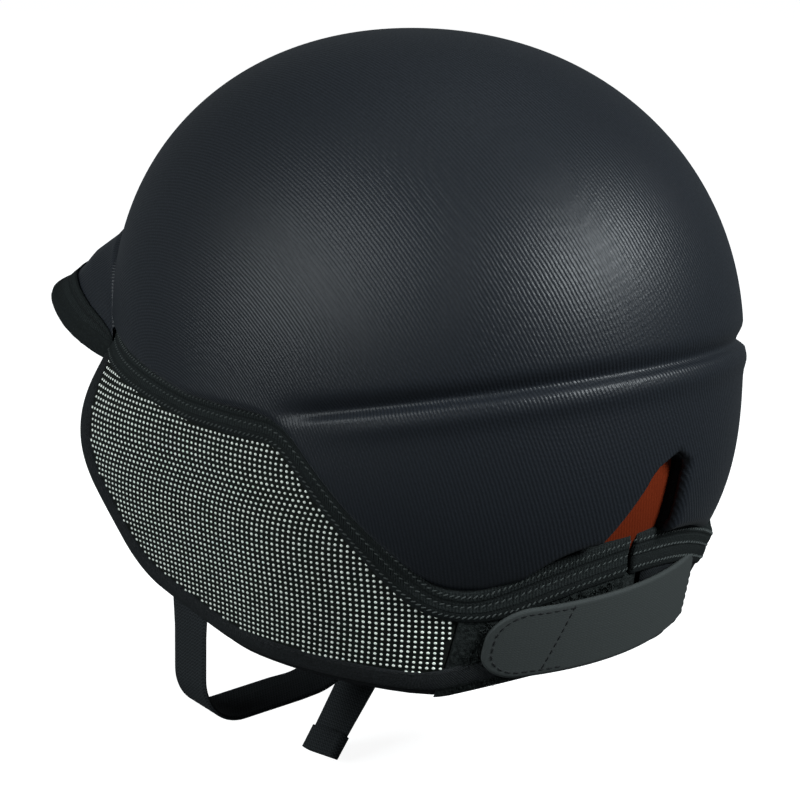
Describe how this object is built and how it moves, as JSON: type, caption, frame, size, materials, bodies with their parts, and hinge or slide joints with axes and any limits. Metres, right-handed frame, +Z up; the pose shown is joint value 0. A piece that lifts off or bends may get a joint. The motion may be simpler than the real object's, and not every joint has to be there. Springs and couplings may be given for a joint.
{
  "type": "water helmet",
  "caption": "Soft fabric-covered foam helmet for water sports with a short brim, mesh ear flaps, a hook-and-loop fit tab at the nape and a buckled chin strap.",
  "frame": {"origin": "centre of the head inside the helmet, level with the shell's widest line", "axes": "+Z up, -Y towards the brim, +X towards the wearer's left"},
  "size_m": [0.202, 0.287, 0.2726],
  "materials": {
    "cover": "fine twill jersey over neoprene, near-black navy",
    "foam": "closed-cell foam, black, matt",
    "liner": "brushed knit on thin foam, red-orange",
    "lining": "jersey-faced neoprene, dark navy",
    "binding": "stretch binding tape, ribbed, with zigzag cover stitch",
    "edging": "narrow folded binding, black",
    "mesh": "black perforated mesh over a pale backing",
    "loop": "brushed loop pile, black",
    "nape": "textured stretch fabric, black",
    "tab": "smooth coated neoprene, charcoal, satin",
    "hook": "moulded hook tape, black",
    "webbing": "ribbed elastic webbing, black",
    "anchor": "moulded plastic, black",
    "buckle": "moulded acetal, black, fine spark texture"
  },
  "bodies": {
    "shell": {"outer_cover": "cover", "foam_shell": "foam", "inner_liner": "liner", "brim_core": "foam", "brim_cover": "cover", "brim_lining": "lining", "brim_binding": "binding", "front_binding": "binding", "left_rim_binding": "binding", "right_rim_binding": "binding", "left_loop_panel": "loop", "right_nape_panel": "nape", "left_ear_mesh": "mesh", "right_ear_mesh": "mesh", "left_flap_binding": "edging", "right_flap_binding": "edging", "left_ear_padding": "lining", "right_ear_padding": "lining", "fit_tab_root": "tab", "left_strap_anchor": "anchor", "right_strap_anchor": "anchor", "chin_strap_left": "webbing", "chin_strap_right": "webbing", "buckle_socket": "buckle"},
    "left_flap": {"left_corner_mesh": "mesh", "left_corner_binding": "edging", "left_corner_padding": "lining"},
    "right_flap": {"right_corner_mesh": "mesh", "right_corner_binding": "edging", "right_corner_padding": "lining"},
    "tab": {"fit_tab": "tab", "fit_tab_hook": "hook"},
    "clip": {"buckle_clip": "buckle", "strap_tail": "webbing", "strap_end_stop": "webbing"},
    "prong_front": {"buckle_prong_front": "buckle"},
    "prong_rear": {"buckle_prong_rear": "buckle"}
  },
  "joints": [
    {"name": "left_flap_fold", "type": "hinge", "parent": "shell", "child": "left_flap", "pos_m": [0.093, -0.09, -0.027], "axis": [0.0435, -0.8113, 0.5831], "range_deg": [0, 40], "stiffness_Nm_per_rad": 0.02},
    {"name": "right_flap_fold", "type": "hinge", "parent": "shell", "child": "right_flap", "pos_m": [-0.093, -0.09, -0.027], "axis": [0.0435, 0.8113, -0.5831], "range_deg": [0, 40], "stiffness_Nm_per_rad": 0.02},
    {"name": "tab_peel", "type": "hinge", "parent": "shell", "child": "tab", "pos_m": [-0.025, 0.1026, -0.08], "axis": [0, 0.2217, 0.9751], "range_deg": [0, 110]},
    {"name": "clip_slide", "type": "slide", "parent": "shell", "child": "clip", "axis": [1, 0, 0], "range_m": [0, 0.024], "deforming": ["chin_strap_left", "buckle_prong_front", "buckle_prong_rear"]},
    {"name": "prong_front_press", "type": "hinge", "parent": "clip", "child": "prong_front", "pos_m": [-0.0342, -0.0498, -0.13], "axis": [0, 0, -1], "range_deg": [0, 6], "stiffness_Nm_per_rad": 0.05},
    {"name": "prong_rear_press", "type": "hinge", "parent": "clip", "child": "prong_rear", "pos_m": [-0.0342, -0.0342, -0.13], "axis": [0, 0, 1], "range_deg": [0, 6], "stiffness_Nm_per_rad": 0.05}
  ],
  "couplings": [
    {"joint": "prong_rear_press", "follows": "prong_front_press", "ratio": 1}
  ]
}
